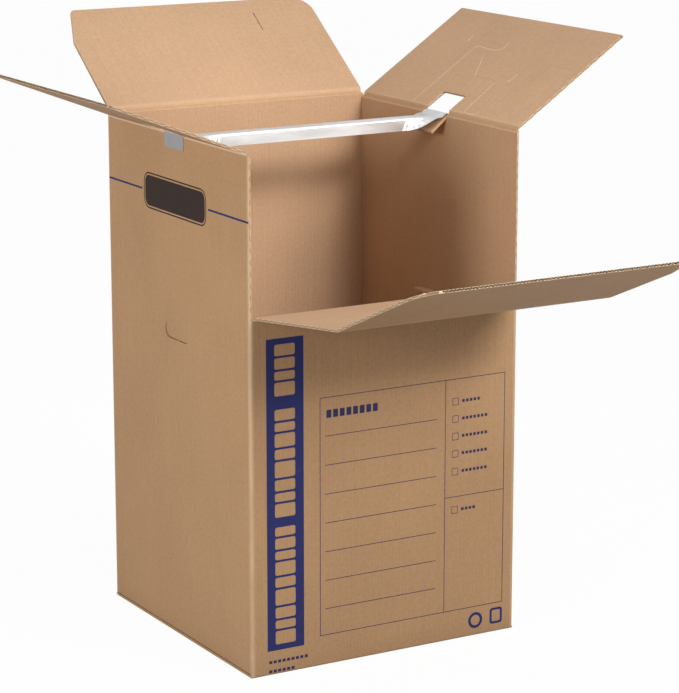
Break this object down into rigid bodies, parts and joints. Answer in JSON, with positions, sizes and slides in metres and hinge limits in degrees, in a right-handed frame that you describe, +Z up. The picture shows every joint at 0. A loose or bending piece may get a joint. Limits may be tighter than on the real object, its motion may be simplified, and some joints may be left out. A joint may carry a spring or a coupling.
{
  "type": "wardrobe moving box",
  "caption": "Tall corrugated wardrobe carton with a steel hanger bar over the side walls, a fold-down access door in front, and open top flaps.",
  "frame": {"origin": "on the floor, at the middle of the carton's underside", "axes": "+Z up, the front with the access door faces -Y, +X to the right seen from the front"},
  "size_m": [1.1449, 1.4563, 1.2233],
  "materials": {
    "kraft_board": "brown kraft liner, matte",
    "bar_steel": "zinc coated sheet steel, satin"
  },
  "bodies": {
    "carton": {"carton": "kraft_board", "hanger_bar": "bar_steel"},
    "left_flap": {"left_flap": "kraft_board"},
    "right_flap": {"right_flap": "kraft_board"},
    "rear_flap": {"rear_flap": "kraft_board"},
    "front_door": {"front_door": "kraft_board"},
    "door_flap": {"door_flap": "kraft_board"}
  },
  "joints": [
    {"name": "left_flap_fold", "type": "hinge", "parent": "carton", "child": "left_flap", "pos_m": [-0.30515, 0, 1.034], "axis": [0, -1, 0], "range_deg": [-159, 106]},
    {"name": "right_flap_fold", "type": "hinge", "parent": "carton", "child": "right_flap", "pos_m": [0.30515, 0, 1.034], "axis": [0, 1, 0], "range_deg": [-146, 119]},
    {"name": "rear_flap_fold", "type": "hinge", "parent": "carton", "child": "rear_flap", "pos_m": [0, 0.30515, 1.04085], "axis": [-1, 0, 0], "range_deg": [-144, 121]},
    {"name": "front_door_fold", "type": "hinge", "parent": "carton", "child": "front_door", "pos_m": [0, -0.30515, 0.717], "axis": [1, 0, 0], "range_deg": [-83, 92]},
    {"name": "door_flap_fold", "type": "hinge", "parent": "front_door", "child": "door_flap", "pos_m": [0, -0.62659, 0.75647], "axis": [1, 0, 0], "range_deg": [-74, 16]}
  ]
}
